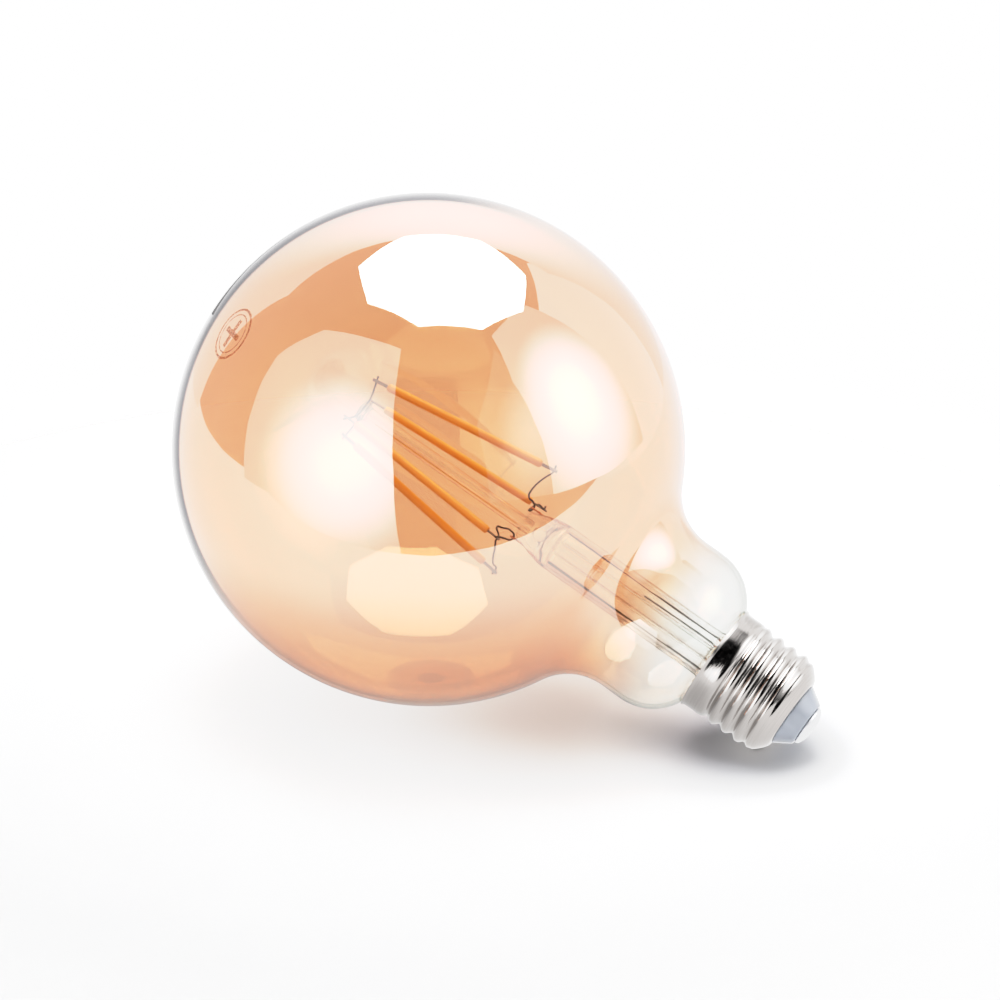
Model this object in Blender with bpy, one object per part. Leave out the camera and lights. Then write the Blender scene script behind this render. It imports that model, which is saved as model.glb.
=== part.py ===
"""A decorative smart filament lamp: amber globe, glass mount with four filaments, screw cap and driver.

Lengths below are millimetres. The lamp axis is +Z, the tip of the centre contact is the origin,
and -Y is the side on which the first and third filaments hang.
"""

import math

import bmesh
import bpy
from mathutils import Matrix, Vector

MILLIMETRE = 0.001
SMALLEST_EDGE = 0.002
GAP = 0.1

# Glass globe and neck.
GLOBE_RADIUS = 62.5
TOTAL_LENGTH = 178.0
GLOBE_CENTRE = TOTAL_LENGTH - GLOBE_RADIUS
GLASS_WALL = 0.9
WAIST_RADIUS = 21.3
THROAT_FILLET = 15.0
SHOULDER_RADIUS = 13.8
WAIST_LENGTH = 5.0
NECK_END_RADIUS = 12.5
NECK_BOTTOM = 24.4

# Screw cap.
PITCH = 25.4 / 7
CREST_RADIUS = 13.2
THREAD_DEPTH = 1.05
CREST_HEIGHT = 11.6
THREAD_BOTTOM = 9.5
THREAD_TOP = 24.2
SHELL_END_RADIUS = 12.45
COLLAR_RADIUS = 13.3
LIP_RADIUS = 13.75
RIM_HEIGHT = 29.2
SHELL_WALL = 0.3
SHELL_MOUTH_RADIUS = 8.3

# Insulator and centre contact.
CONTACT_HEIGHT = 1.9
CONTACT_RADIUS = 5.05
CONTACT_FLAT = 1.6
INSULATOR_BOTTOM = CONTACT_HEIGHT + GAP
INSULATOR_TOP = 9.2
INSULATOR_BORE = 0.9

# Glass mount. It leans a little to -X in the neck, about a point level with the cap's rim.
MOUNT_LEAN = math.radians(0.9)
STEM_RADIUS = 6.1
STEM_WALL = 1.0
STEM_CAVITY_TOP = 76.5
PRESS_TOP = 86.0
EXHAUST_RADIUS = 2.0
EXHAUST_BORE = 1.3
EXHAUST_TIP = 14.0
EXHAUST_WINDOW = 1.7
WINDOW_HEIGHT = 81.0
ROD_RADIUS = 1.8
ROD_BOTTOM = 83.6
BUTTON_RADIUS = 2.7
BUTTON_BOTTOM = 133.6
BUTTON_TOP = 135.4

# Filaments: a square cone about the support rod.
FILAMENT_AZIMUTHS = {"1": -25.0, "2": 68.0, "3": -115.0, "4": 155.0}
BRIDGES = {"near": ("1", "3"), "far": ("2", "4")}
TOP_WELD = (8.5, 135.4)
BOTTOM_WELDS = {"1": (16.2, 86.4), "2": (15.2, 85.9), "3": (15.4, 87.3), "4": (15.1, 86.1)}
PHOSPHOR_LENGTH = 43.0
PHOSPHOR_RADIUS = 1.05
TAB_OVERHANG = 0.9
TAB_WIDTH = 0.8
TAB_THICKNESS = 0.25

# Wires.
WIRE_RADIUS = 0.25
SEAL_RADIUS = 0.3
CHANNEL_RADIUS = 0.42
LEAD_OFFSET = 4.3
SEAL_TOP = 81.5
HOOK_HEIGHT = 86.2
HOOK_RADIUS = 0.56
WELD_OVERHANG = 1.2
ANTENNA_RADIUS = 0.3
ANTENNA_TOP = 52.0

# Driver in the cap.
LINER_RADIUS = 11.3
LINER_WALL = 0.4
LINER_BOTTOM = 9.6
LINER_TOP = 20.2
BOARD_HALF_WIDTH = 8.5
BOARD_FRONT = 3.4
BOARD_THICKNESS = 0.8
BOARD_BACK = BOARD_FRONT + BOARD_THICKNESS
BOARD_BOTTOM = 9.9
BOARD_TOP = 21.5
SOLDER_HEIGHT = 20.3
RESISTOR_LINE = (-5.6, 12.2)

ROUND = 32
THREAD_LEVELS = 21
SMALL_ROUND = 20
WIRE_ROUNDING = 1


def clear_scene():
    for existing in list(bpy.data.objects):
        bpy.data.objects.remove(existing)


def principled(name, colour, roughness, metallic=0.0):
    material = bpy.data.materials.new(name)
    material.use_nodes = True
    shader = material.node_tree.nodes["Principled BSDF"]
    shader.inputs["Base Color"].default_value = (*colour, 1.0)
    shader.inputs["Roughness"].default_value = roughness
    shader.inputs["Metallic"].default_value = metallic
    return material


def amber_glass():
    return principled("amber_glass", (0.80, 0.42, 0.18), 0.05)


def clear_glass():
    return principled("clear_glass", (0.82, 0.84, 0.80), 0.05)


def nickel_shell():
    return principled("nickel_shell", (0.72, 0.71, 0.69), 0.15, 1.0)


def contact_metal():
    return principled("contact_metal", (0.66, 0.66, 0.66), 0.3, 1.0)


def white_insulator():
    return principled("white_insulator", (0.78, 0.83, 0.90), 0.35)


def tan_cement():
    return principled("tan_cement", (0.40, 0.30, 0.18), 0.9)


def orange_phosphor():
    return principled("orange_phosphor", (0.90, 0.30, 0.04), 0.45)


def grey_tab():
    return principled("grey_tab", (0.42, 0.41, 0.39), 0.35, 1.0)


def dark_nickel_wire():
    return principled("dark_nickel_wire", (0.22, 0.20, 0.18), 0.35, 1.0)


def copper_wire():
    return principled("copper_wire", (0.75, 0.42, 0.28), 0.3, 1.0)


def green_laminate():
    return principled("green_laminate", (0.06, 0.24, 0.12), 0.5)


def tinned_steel():
    return principled("tinned_steel", (0.60, 0.61, 0.62), 0.35, 1.0)


def black_resin():
    return principled("black_resin", (0.03, 0.03, 0.035), 0.5)


def capacitor_sleeve():
    return principled("capacitor_sleeve", (0.05, 0.08, 0.16), 0.35)


def grey_ferrite():
    return principled("grey_ferrite", (0.10, 0.10, 0.11), 0.6)


def tan_ceramic():
    return principled("tan_ceramic", (0.52, 0.38, 0.24), 0.6)


def resistor_coating():
    return principled("resistor_coating", (0.18, 0.34, 0.30), 0.6)


def white_sleeve():
    return principled("white_sleeve", (0.80, 0.80, 0.76), 0.6)


def liner_card():
    return principled("liner_card", (0.70, 0.68, 0.60), 0.7)


def red_insulation():
    return principled("red_insulation", (0.50, 0.05, 0.04), 0.5)


def blue_insulation():
    return principled("blue_insulation", (0.05, 0.10, 0.40), 0.5)


def grey_insulation():
    return principled("grey_insulation", (0.22, 0.22, 0.23), 0.5)


def add_object(name, data, material):
    if material:
        data.materials.append(material)
    piece = bpy.data.objects.new(name, data)
    bpy.context.scene.collection.objects.link(piece)
    return piece


def finish_mesh(name, solid, material, crease=40.0):
    """Turns a bmesh in millimetres into an object with its faces outward and its curves smooth."""
    bmesh.ops.remove_doubles(solid, verts=solid.verts, dist=SMALLEST_EDGE)
    bmesh.ops.recalc_face_normals(solid, faces=solid.faces)
    if solid.calc_volume(signed=True) < 0:
        bmesh.ops.reverse_faces(solid, faces=solid.faces)
    bmesh.ops.scale(solid, vec=(MILLIMETRE, MILLIMETRE, MILLIMETRE), verts=solid.verts)
    mesh = bpy.data.meshes.new(name)
    solid.to_mesh(mesh)
    solid.free()
    mesh.shade_smooth()
    mesh.set_sharp_from_angle(angle=math.radians(crease))
    return add_object(name, mesh, material)


def turned(name, profile, material, segments=ROUND, closed=False, crease=40.0):
    """A profile of (radius, height) spun once about Z."""
    solid = bmesh.new()
    corners = [solid.verts.new((radius, 0.0, height)) for radius, height in profile]
    edges = [solid.edges.new(pair) for pair in zip(corners, corners[1:])]
    if closed:
        edges.append(solid.edges.new((corners[-1], corners[0])))
    bmesh.ops.spin(
        solid,
        geom=corners + edges,
        axis=(0.0, 0.0, 1.0),
        cent=(0.0, 0.0, 0.0),
        angle=math.tau,
        steps=segments,
        use_merge=True,
    )
    return finish_mesh(name, solid, material, crease)


def skinned(name, rings, material, closed=False, crease=40.0):
    """Equal rings of points joined in order; the ends are capped unless the stack closes on itself."""
    solid = bmesh.new()
    loops = [[solid.verts.new(point) for point in ring] for ring in rings]
    pairs = list(zip(loops, loops[1:]))
    if closed:
        pairs.append((loops[-1], loops[0]))
    else:
        solid.faces.new(loops[0])
        solid.faces.new(loops[-1])
    for lower, upper in pairs:
        for step in range(len(lower)):
            before = step - 1
            solid.faces.new((lower[before], lower[step], upper[step], upper[before]))
    return finish_mesh(name, solid, material, crease)


def wire(name, points, radius, material, smooth=True, rounding=WIRE_ROUNDING):
    """A round wire along the points, as a curve with a bevel and filled ends."""
    curve = bpy.data.curves.new(name, "CURVE")
    curve.dimensions = "3D"
    curve.bevel_depth = radius * MILLIMETRE
    curve.bevel_resolution = rounding
    curve.use_fill_caps = True
    curve.resolution_u = 3 if smooth else 1
    curve.render_resolution_u = 0
    spline = curve.splines.new("BEZIER")
    spline.bezier_points.add(len(points) - 1)
    for knot, point in zip(spline.bezier_points, points):
        knot.co = Vector(point) * MILLIMETRE
        knot.handle_left_type = "AUTO" if smooth else "VECTOR"
        knot.handle_right_type = knot.handle_left_type
    return add_object(name, curve, material)


def block(name, low, high, material, bevel=0.0):
    """A box between two corners, placed at its middle, with small bevelled edges if asked."""
    low, high = Vector(low), Vector(high)
    solid = bmesh.new()
    bmesh.ops.create_cube(solid, size=1.0)
    bmesh.ops.scale(solid, vec=high - low, verts=solid.verts)
    piece = finish_mesh(name, solid, material)
    piece.location = (low + high) / 2 * MILLIMETRE
    if bevel:
        edge = piece.modifiers.new("edge", "BEVEL")
        edge.width = bevel * MILLIMETRE
        edge.segments = 1
    return piece


def cut(piece, helper):
    """Takes a helper shape away from a piece; a helper made as a wire becomes a mesh first."""
    if helper.type == "CURVE":
        graph = bpy.context.evaluated_depsgraph_get()
        mesh = bpy.data.meshes.new_from_object(helper.evaluated_get(graph))
        name = helper.name
        bpy.data.objects.remove(helper)
        helper = add_object(name, mesh, None)
    helper.hide_render = True
    helper.display_type = "WIRE"
    boolean = piece.modifiers.new(helper.name, "BOOLEAN")
    boolean.operation = "DIFFERENCE"
    boolean.solver = "EXACT"
    boolean.object = helper


def drill(piece, name, start, end, radius, segments):
    """A round hole through a piece, from start to end."""
    start, end = Vector(start), Vector(end)
    length = (end - start).length
    solid = bmesh.new()
    bmesh.ops.create_cone(
        solid,
        cap_ends=True,
        segments=segments,
        radius1=radius,
        radius2=radius,
        depth=length,
    )
    helper = finish_mesh(name, solid, None)
    helper.location = (start + end) / 2 * MILLIMETRE
    helper.rotation_mode = "QUATERNION"
    helper.rotation_quaternion = (end - start).to_track_quat("Z", "Y")
    cut(piece, helper)


def polar(radius, azimuth, height):
    angle = math.radians(azimuth)
    return Vector((radius * math.cos(angle), radius * math.sin(angle), height))


def neck_profile(inset):
    """(radius, height) from the globe pole down to the end of the neck, moved in by inset."""
    globe = GLOBE_RADIUS - inset
    fillet = THROAT_FILLET + inset
    shoulder = SHOULDER_RADIUS - inset
    ring_radius = WAIST_RADIUS + THROAT_FILLET
    throat_depth = math.sqrt((GLOBE_RADIUS + THROAT_FILLET) ** 2 - ring_radius**2)
    throat_height = GLOBE_CENTRE - throat_depth
    join = math.atan2(ring_radius, throat_depth)
    profile = []
    globe_steps = 15
    for step in range(globe_steps + 1):
        angle = (math.pi - join) * step / globe_steps
        profile.append((globe * math.sin(angle), GLOBE_CENTRE + globe * math.cos(angle)))
    fillet_steps = 3
    for step in range(1, fillet_steps + 1):
        angle = join + (math.pi / 2 - join) * step / fillet_steps
        radius = ring_radius - fillet * math.sin(angle)
        profile.append((radius, throat_height + fillet * math.cos(angle)))
    shoulder_height = throat_height - WAIST_LENGTH
    shoulder_centre = WAIST_RADIUS - SHOULDER_RADIUS
    shoulder_turn = math.acos((NECK_END_RADIUS - shoulder_centre + 0.3) / SHOULDER_RADIUS)
    shoulder_steps = 5
    for step in range(shoulder_steps + 1):
        angle = shoulder_turn * step / shoulder_steps
        radius = shoulder_centre + shoulder * math.cos(angle)
        profile.append((radius, shoulder_height - shoulder * math.sin(angle)))
    neck_radius = NECK_END_RADIUS - inset
    neck_top = profile[-1][1] - 0.5
    profile.append((neck_radius, neck_top))
    profile.append((neck_radius, NECK_BOTTOM))
    return profile


def globe_envelope():
    outer = neck_profile(0.0)
    inner = neck_profile(GLASS_WALL)
    profile = outer + inner[::-1]
    turned("globe_envelope", profile, amber_glass())


def thread_radius(height, angle):
    """The helix cuts less deep towards the collar and runs out above the mouth of the cap."""
    turn = (height - CREST_HEIGHT) / PITCH - angle / math.tau
    depth = THREAD_DEPTH * min(1.0, (THREAD_TOP - height) / (0.4 * PITCH))
    radius = CREST_RADIUS - depth / 2 * (1 - math.cos(math.tau * turn))
    blend = min(1.0, (height - THREAD_BOTTOM) / (0.5 * PITCH))
    return SHELL_END_RADIUS + blend * (radius - SHELL_END_RADIUS)


def shell_surface(inset):
    """Rings of the cap from its mouth up to its rim, moved in by inset."""
    mouth = [
        (SHELL_MOUTH_RADIUS, 6.2 + inset),
        (9.3 - 0.4 * inset, 6.4 + 0.9 * inset),
        (10.2 - 0.7 * inset, 6.95 + 0.7 * inset),
        (11.1 - 0.8 * inset, 7.7 + 0.5 * inset),
        (12.0 - 0.9 * inset, 8.6 + 0.3 * inset),
        (SHELL_END_RADIUS - inset, 9.2),
    ]
    collar = [
        (COLLAR_RADIUS - inset, THREAD_TOP + 0.6),
        (COLLAR_RADIUS - inset, RIM_HEIGHT - 0.9),
        (COLLAR_RADIUS + 0.15 - inset, RIM_HEIGHT - 0.5),
        (LIP_RADIUS - inset, RIM_HEIGHT),
    ]
    angles = [math.tau * step / ROUND for step in range(ROUND)]
    rings = [[(r * math.cos(a), r * math.sin(a), z) for a in angles] for r, z in mouth]
    for level in range(THREAD_LEVELS):
        height = THREAD_BOTTOM + (THREAD_TOP - THREAD_BOTTOM) * level / (THREAD_LEVELS - 1)
        ring = []
        for angle in angles:
            radius = thread_radius(height, angle) - inset
            ring.append((radius * math.cos(angle), radius * math.sin(angle), height))
        rings.append(ring)
    rings += [[(r * math.cos(a), r * math.sin(a), z) for a in angles] for r, z in collar]
    return rings


def screw_shell():
    rings = shell_surface(0.0) + shell_surface(SHELL_WALL)[::-1]
    skinned("screw_shell", rings, nickel_shell(), closed=True, crease=60.0)


def base_insulator():
    profile = [
        (INSULATOR_BORE, INSULATOR_BOTTOM),
        (CONTACT_RADIUS + 0.35, INSULATOR_BOTTOM),
        (5.9, 2.5),
        (8.0, 5.7),
        (8.15, 6.3),
        (8.15, 6.7),
        (8.8, 7.0),
        (9.7, 7.6),
        (10.6, 8.3),
        (11.1, 8.9),
        (11.1, INSULATOR_TOP),
        (INSULATOR_BORE, INSULATOR_TOP),
    ]
    turned("base_insulator", profile, white_insulator(), closed=True)


def centre_contact():
    profile = [
        (0.0, CONTACT_HEIGHT),
        (CONTACT_RADIUS - 0.2, CONTACT_HEIGHT),
        (CONTACT_RADIUS, CONTACT_HEIGHT - 0.25),
        (4.75, 1.15),
        (4.1, 0.7),
        (3.2, 0.33),
        (2.4, 0.12),
        (CONTACT_FLAT, 0.0),
        (0.0, 0.0),
    ]
    turned("centre_contact", profile, contact_metal())


def basing_cement():
    """The ring that fills the collar round the glass and shows at the rim."""
    inner = NECK_END_RADIUS + GAP
    outer = COLLAR_RADIUS - SHELL_WALL - 1.5 * GAP
    bottom = NECK_BOTTOM + 1.2
    profile = [
        (inner, bottom),
        (outer, bottom),
        (outer, RIM_HEIGHT - 1.0),
        (outer + 0.3, RIM_HEIGHT - 0.3),
        (outer + 0.15, RIM_HEIGHT - 0.1),
        (inner + 0.1, RIM_HEIGHT - 0.6),
    ]
    turned("basing_cement", profile, tan_cement(), closed=True)


def press_ring(half_width, half_depth, power, height, segments):
    """One cross-section of the stem: a circle at power 2, squarer above that."""
    ring = []
    for step in range(segments):
        angle = math.tau * step / segments
        c, s = math.cos(angle), math.sin(angle)
        x = half_width * math.copysign(abs(c) ** (2 / power), c)
        y = half_depth * math.copysign(abs(s) ** (2 / power), s)
        ring.append((x, y, height))
    return ring


def stem_flare():
    """The flared stem tube with its flat press, drilled for the leads, the rod and the exhaust."""
    inner_radius = STEM_RADIUS - STEM_WALL
    inside = [
        (inner_radius - 1.0, STEM_CAVITY_TOP),
        (inner_radius - 0.2, STEM_CAVITY_TOP - 0.8),
        (inner_radius, STEM_CAVITY_TOP - 2.0),
        (inner_radius, 32.0),
        (inner_radius + 0.5, 29.6),
        (inner_radius + 1.8, 27.4),
        (inner_radius + 3.6, 25.6),
        (10.4, NECK_BOTTOM),
    ]
    outside = [
        (11.3, 11.3, 2, NECK_BOTTOM),
        (9.6, 9.6, 2, 25.9),
        (7.8, 7.8, 2, 27.9),
        (6.5, 6.5, 2, 30.2),
        (STEM_RADIUS, STEM_RADIUS, 2, 32.4),
        (STEM_RADIUS, STEM_RADIUS, 2, 75.0),
        (6.0, 5.6, 2, 77.0),
        (5.7, 4.0, 2.3, 79.0),
        (5.1, 2.8, 2.8, 81.2),
        (4.3, 2.3, 3.2, 83.2),
        (3.7, 2.2, 3.5, 85.0),
        (3.4, 2.1, 3.5, PRESS_TOP),
    ]
    segments = 24
    rings = [press_ring(r, r, 2, z, segments) for r, z in inside]
    rings += [press_ring(w, d, power, z, segments) for w, d, power, z in outside]
    stem = skinned("stem_flare", rings, clear_glass())
    above = PRESS_TOP + 2.0
    for letter, side in (("a", 1), ("b", -1)):
        x = side * LEAD_OFFSET
        drill(stem, f"channel_{letter}", (x, 0.0, 74.0), (x, 0.0, above), CHANNEL_RADIUS, 10)
    bottom = ROD_BOTTOM - GAP
    drill(stem, "rod_socket", (0.0, 0.0, bottom), (0.0, 0.0, above), ROD_RADIUS + GAP, SMALL_ROUND)
    bottom = STEM_CAVITY_TOP - 1.0
    bore_top = WINDOW_HEIGHT + 0.6
    drill(stem, "exhaust_bore", (0.0, 0.0, bottom), (0.0, 0.0, bore_top), EXHAUST_BORE, 14)
    face = (0.0, -STEM_RADIUS, WINDOW_HEIGHT)
    drill(stem, "exhaust_window", (0.0, 0.0, WINDOW_HEIGHT), face, EXHAUST_WINDOW, 18)


def exhaust_tube():
    """Open at the press and drawn to a closed tip in the cap."""
    top = STEM_CAVITY_TOP - GAP
    profile = [
        (0.0, EXHAUST_TIP + 2.2),
        (0.9, EXHAUST_TIP + 2.8),
        (EXHAUST_BORE, EXHAUST_TIP + 4.2),
        (EXHAUST_BORE, top),
        (EXHAUST_RADIUS, top),
        (EXHAUST_RADIUS, EXHAUST_TIP + 3.0),
        (1.6, EXHAUST_TIP + 1.2),
        (0.8, EXHAUST_TIP + 0.3),
        (0.0, EXHAUST_TIP),
    ]
    turned("exhaust_tube", profile, clear_glass(), SMALL_ROUND)


def weld_offset(azimuth, order):
    """Sideways shift that lays a round wire against the flat of a filament tab."""
    distance = TAB_THICKNESS / 2 + WIRE_RADIUS + GAP / 2
    return order * distance * polar(1.0, azimuth + 90.0, 0.0)


def bridge_path(first, second):
    """Points of a wire from one top weld, through the button, to the other."""
    radius, height = TOP_WELD
    ends = []
    for number, order in ((first, 1), (second, -1)):
        azimuth = FILAMENT_AZIMUTHS[number]
        shift = weld_offset(azimuth, order)
        ends.append(
            [
                polar(radius + WELD_OVERHANG, azimuth, height + 0.2) + shift,
                polar(radius, azimuth, height) + shift,
                polar(0.4 * radius, azimuth, BUTTON_TOP - 0.85) + shift,
            ]
        )
    middle_azimuth = (FILAMENT_AZIMUTHS[first] + FILAMENT_AZIMUTHS[second]) / 2
    middle = polar(1.25, middle_azimuth, BUTTON_TOP - 0.9)
    return ends[0] + [middle] + ends[1][::-1]


def support_rod():
    """The glass rod with the button that grips both bridge wires."""
    profile = [
        (0.0, ROD_BOTTOM),
        (ROD_RADIUS, ROD_BOTTOM),
        (ROD_RADIUS, BUTTON_BOTTOM - 1.0),
        (ROD_RADIUS + 0.3, BUTTON_BOTTOM - 0.2),
        (BUTTON_RADIUS - 0.15, BUTTON_BOTTOM),
        (BUTTON_RADIUS, BUTTON_BOTTOM + 0.4),
        (BUTTON_RADIUS, BUTTON_TOP - 0.5),
        (BUTTON_RADIUS - 0.3, BUTTON_TOP - 0.1),
        (BUTTON_RADIUS - 0.8, BUTTON_TOP),
        (0.0, BUTTON_TOP),
    ]
    rod = turned("support_rod", profile, clear_glass(), SMALL_ROUND)
    for name, (first, second) in BRIDGES.items():
        channel = wire(f"bridge_channel_{name}", bridge_path(first, second), WIRE_RADIUS + 0.08, None)
        cut(rod, channel)


def bridge_wires():
    for name, (first, second) in BRIDGES.items():
        wire(f"bridge_wire_{name}", bridge_path(first, second), WIRE_RADIUS, dark_nickel_wire())


def filament_line(number):
    """The top weld, the direction down the filament and the distance between its welds."""
    azimuth = FILAMENT_AZIMUTHS[number]
    top = polar(TOP_WELD[0], azimuth, TOP_WELD[1])
    radius, height = BOTTOM_WELDS[number]
    span = polar(radius, azimuth, height) - top
    return top, span.normalized(), span.length


def hang(piece, number, distance):
    """Places a piece on a filament's line, with its own Z down the line and its Y across it."""
    top, down, _ = filament_line(number)
    across = polar(1.0, FILAMENT_AZIMUTHS[number] + 90.0, 0.0)
    turn = Matrix((across.cross(down), across, down)).transposed()
    piece.location = (top + down * distance) * MILLIMETRE
    piece.rotation_euler = turn.to_euler()


def filament_body(number):
    half = PHOSPHOR_LENGTH / 2
    profile = [(0.0, -half), (0.5, -half), (0.85, 0.15 - half), (PHOSPHOR_RADIUS, 0.55 - half)]
    profile += [(radius, -height) for radius, height in profile[::-1]]
    body = turned(f"filament_{number}", profile, orange_phosphor(), 14)
    _, _, length = filament_line(number)
    hang(body, number, length / 2)


def filament_tabs(number):
    """The flat metal strips at both ends of a filament."""
    _, _, length = filament_line(number)
    tab_length = (length - PHOSPHOR_LENGTH) / 2 + TAB_OVERHANG - GAP
    corner = Vector((TAB_WIDTH, TAB_THICKNESS, tab_length)) / 2
    for end, distance in (
        ("upper", tab_length / 2 - TAB_OVERHANG),
        ("lower", length + TAB_OVERHANG - tab_length / 2),
    ):
        tab = block(f"filament_{number}_{end}_tab", -corner, corner, grey_tab())
        hang(tab, number, distance)


def weld_run(number, order):
    """The last stretch of a cross wire, laid across the lower tab of a filament."""
    azimuth = FILAMENT_AZIMUTHS[number]
    radius, height = BOTTOM_WELDS[number]
    shift = weld_offset(azimuth, order)
    inner = polar(radius - 0.8, azimuth, height) + shift
    outer = polar(radius + WELD_OVERHANG, azimuth, height + 0.2) + shift
    return [inner, outer]


def cross_wires():
    """Each wire hangs in the hook of one lead and feeds the lower ends of two filaments."""
    x = LEAD_OFFSET
    hook = HOOK_HEIGHT
    to_first = [(12.3, -5.9, 87.2), (8.2, -3.4, 88.6), (5.9, -1.4, 88.4), (5.6, -0.2, 87.0)]
    in_hook = [(x + 0.7, 0.0, hook), (x - 0.5, 0.0, hook)]
    to_second = [(3.3, 0.9, hook + 0.6), (4.2, 5.5, hook + 1.2), (6.0, 11.0, hook + 0.9)]
    path = weld_run("1", 1)[::-1] + to_first + in_hook + to_second + weld_run("2", -1)
    wire("cross_wire_a", path, WIRE_RADIUS, dark_nickel_wire())
    to_third = [(-4.6, -12.2, 89.0), (-3.8, -8.0, 88.4), (-3.3, -1.2, hook + 0.6)]
    in_hook = [(0.5 - x, 0.0, hook), (-x - 0.7, 0.0, hook)]
    to_fourth = [(-5.6, 0.2, 87.6), (-6.4, 1.0, 89.3), (-9.2, 3.2, 88.6), (-12.3, 5.0, 87.2)]
    path = weld_run("3", 1)[::-1] + to_third + in_hook + to_fourth + weld_run("4", -1)
    wire("cross_wire_b", path, WIRE_RADIUS, dark_nickel_wire())


def leads(letter, side):
    """The three lengths of one lead: hooked inner wire, seal in the press, outer wire to the board."""
    x = side * LEAD_OFFSET
    inner = [(x, 0.0, SEAL_TOP + GAP), (x, 0.0, 84.6), (x, HOOK_RADIUS, 85.5)]
    for step in range(4):
        angle = math.pi * step / 3
        y = HOOK_RADIUS * math.cos(angle)
        inner.append((x, y, HOOK_HEIGHT + HOOK_RADIUS * math.sin(angle)))
    inner.append((x, -HOOK_RADIUS, HOOK_HEIGHT - 1.0))
    wire(f"inner_lead_{letter}", inner, WIRE_RADIUS, copper_wire())
    seal = [(x, 0.0, STEM_CAVITY_TOP), (x, 0.0, SEAL_TOP)]
    wire(f"dumet_seal_{letter}", seal, SEAL_RADIUS, copper_wire(), smooth=False)
    outer = [
        (x, 0.0, STEM_CAVITY_TOP - GAP),
        (x, 0.0, 50.0),
        (x, 0.0, 26.0),
        (x, 0.5, 22.6),
        (x, 1.6, SOLDER_HEIGHT + 0.4),
        (x, BOARD_FRONT - GAP, SOLDER_HEIGHT),
    ]
    wire(f"outer_lead_{letter}", outer, WIRE_RADIUS, dark_nickel_wire())


def driver_board():
    low = (-BOARD_HALF_WIDTH, BOARD_FRONT, BOARD_BOTTOM)
    high = (BOARD_HALF_WIDTH, BOARD_BACK, BOARD_TOP)
    block("driver_board", low, high, green_laminate())


def board_packages():
    """Surface-mount parts on both faces of the board."""
    back = BOARD_BACK + GAP
    front = BOARD_FRONT - GAP
    block("radio_module", (-1.0, back, 11.5), (8.0, back + 1.7, 20.3), tinned_steel(), 0.3)
    block("bridge_rectifier", (-7.6, back, 15.5), (-2.9, back + 1.6, 19.4), black_resin(), 0.2)
    block("driver_chip", (-7.4, back, 10.4), (-2.5, back + 1.5, 14.3), black_resin(), 0.2)
    block("ceramic_capacitor", (3.8, front - 1.4, 17.2), (7.0, front, 18.8), tan_ceramic(), 0.15)


def stand(piece, x, y, z):
    piece.location = Vector((x, y, z)) * MILLIMETRE


def bulk_capacitor():
    """A can with a crimp groove near its foot, standing on the board's front."""
    radius, height = 3.1, 8.0
    profile = [
        (0.0, 0.0),
        (radius - 0.3, 0.0),
        (radius, 0.3),
        (radius, 1.0),
        (radius - 0.35, 1.3),
        (radius, 1.6),
        (radius, height - 0.4),
        (radius - 0.4, height),
        (0.0, height),
    ]
    can = turned("bulk_capacitor", profile, capacitor_sleeve(), SMALL_ROUND)
    stand(can, -6.2, BOARD_FRONT - 0.25 - radius, BOARD_BOTTOM + 0.4)


def power_inductor():
    """A drum with a flange at each end of its winding."""
    radius, height, winding = 2.5, 5.6, 2.15
    profile = [
        (0.0, 0.0),
        (radius, 0.0),
        (radius, 0.8),
        (winding, 1.0),
        (winding, height - 1.0),
        (radius, height - 0.8),
        (radius, height),
        (0.0, height),
    ]
    drum = turned("power_inductor", profile, grey_ferrite(), SMALL_ROUND, crease=30.0)
    stand(drum, 5.4, BOARD_FRONT - 0.2 - radius, BOARD_BOTTOM + 0.4)


def fusible_resistor():
    """It lies across the cap, with a short stub of lead at each end of its body."""
    y, z = RESISTOR_LINE
    half, radius, stub = 3.2, 1.2, 0.3
    profile = [(0.0, -5.0), (stub, -5.0), (stub, -half - 0.1), (0.9, -half), (radius, 0.4 - half)]
    profile += [(across, -length) for across, length in profile[::-1]]
    body = turned("fusible_resistor", profile, resistor_coating(), 14)
    body.rotation_euler = (0.0, math.pi / 2, 0.0)
    stand(body, 0.0, y, z)


def resistor_sleeve():
    """An insulating tube, open at both ends, pushed over the resistor."""
    y, z = RESISTOR_LINE
    half, inner, outer = 4.0, 1.4, 1.65
    profile = [(inner, -half), (outer, -half), (outer, half), (inner, half)]
    tube = turned("resistor_sleeve", profile, white_sleeve(), SMALL_ROUND, closed=True)
    tube.rotation_euler = (0.0, math.pi / 2, 0.0)
    stand(tube, 0.0, y, z)


def cap_wires():
    """Live from the centre contact through the resistor to the board, and neutral to the shell."""
    y, z = RESISTOR_LINE
    live = [(0.0, 0.0, CONTACT_HEIGHT + GAP), (0.0, 0.0, 8.6), (-0.4, -0.6, 10.0)]
    live += [(-3.0, -3.0, 11.0), (-6.0, -4.4, 11.6), (-6.4, y + 0.3, z - 0.1), (-5.0 - GAP, y, z)]
    wire("live_wire", live, 0.35, red_insulation())
    fused = [(5.0 + GAP, y, z), (7.4, -4.2, z + 0.1), (9.0, -1.0, z + 0.3), (8.9, 1.4, z + 0.5)]
    fused.append((8.0, BOARD_FRONT - GAP, z + 0.6))
    wire("fused_wire", fused, 0.3, red_insulation())
    neutral = [(7.6, BOARD_FRONT - GAP, 19.6), (7.9, 1.6, 20.6), (8.6, 0.6, 21.6), (11.4, 0.4, 22.2)]
    wire("neutral_wire", neutral, WIRE_RADIUS, blue_insulation())


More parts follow.
